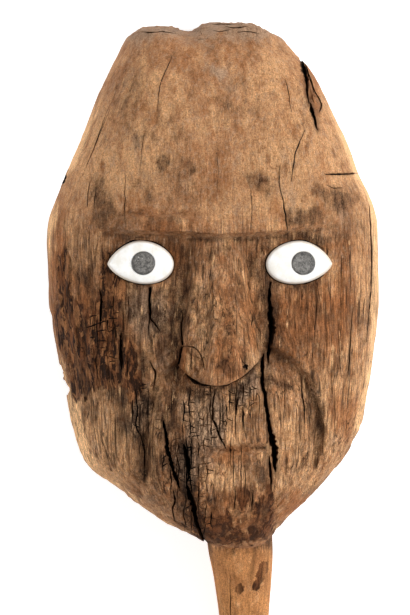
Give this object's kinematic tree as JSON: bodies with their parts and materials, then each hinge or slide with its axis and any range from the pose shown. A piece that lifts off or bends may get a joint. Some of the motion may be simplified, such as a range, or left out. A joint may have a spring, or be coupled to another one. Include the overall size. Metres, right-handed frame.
{
  "type": "funerary mask",
  "caption": "Long flat-backed face carved from old wood, with a wedge nose, domed almond eyes of shell with dark discs, and a tapering stake below the chin.",
  "frame": {"origin": "on the flat back, under the point where the nose's centre line crosses the eye line", "axes": "+Y up the face from chin to crown, +Z out of the face, +X towards the side of the face that is on the viewer's right; the mask lies on its back"},
  "size_m": [0.1915, 0.4502, 0.1032],
  "materials": {
    "wood": "old dry bare wood, split along the grain, with dark stains and traces of red-brown pigment",
    "shell": "smooth white shell with a soft polish",
    "disc": "dark mottled grey, smooth"
  },
  "bodies": {
    "root": {"carved_head": "wood", "left_eye_shell": "shell", "right_eye_shell": "shell", "left_eye_disc": "disc", "right_eye_disc": "disc"}
  },
  "joints": []
}
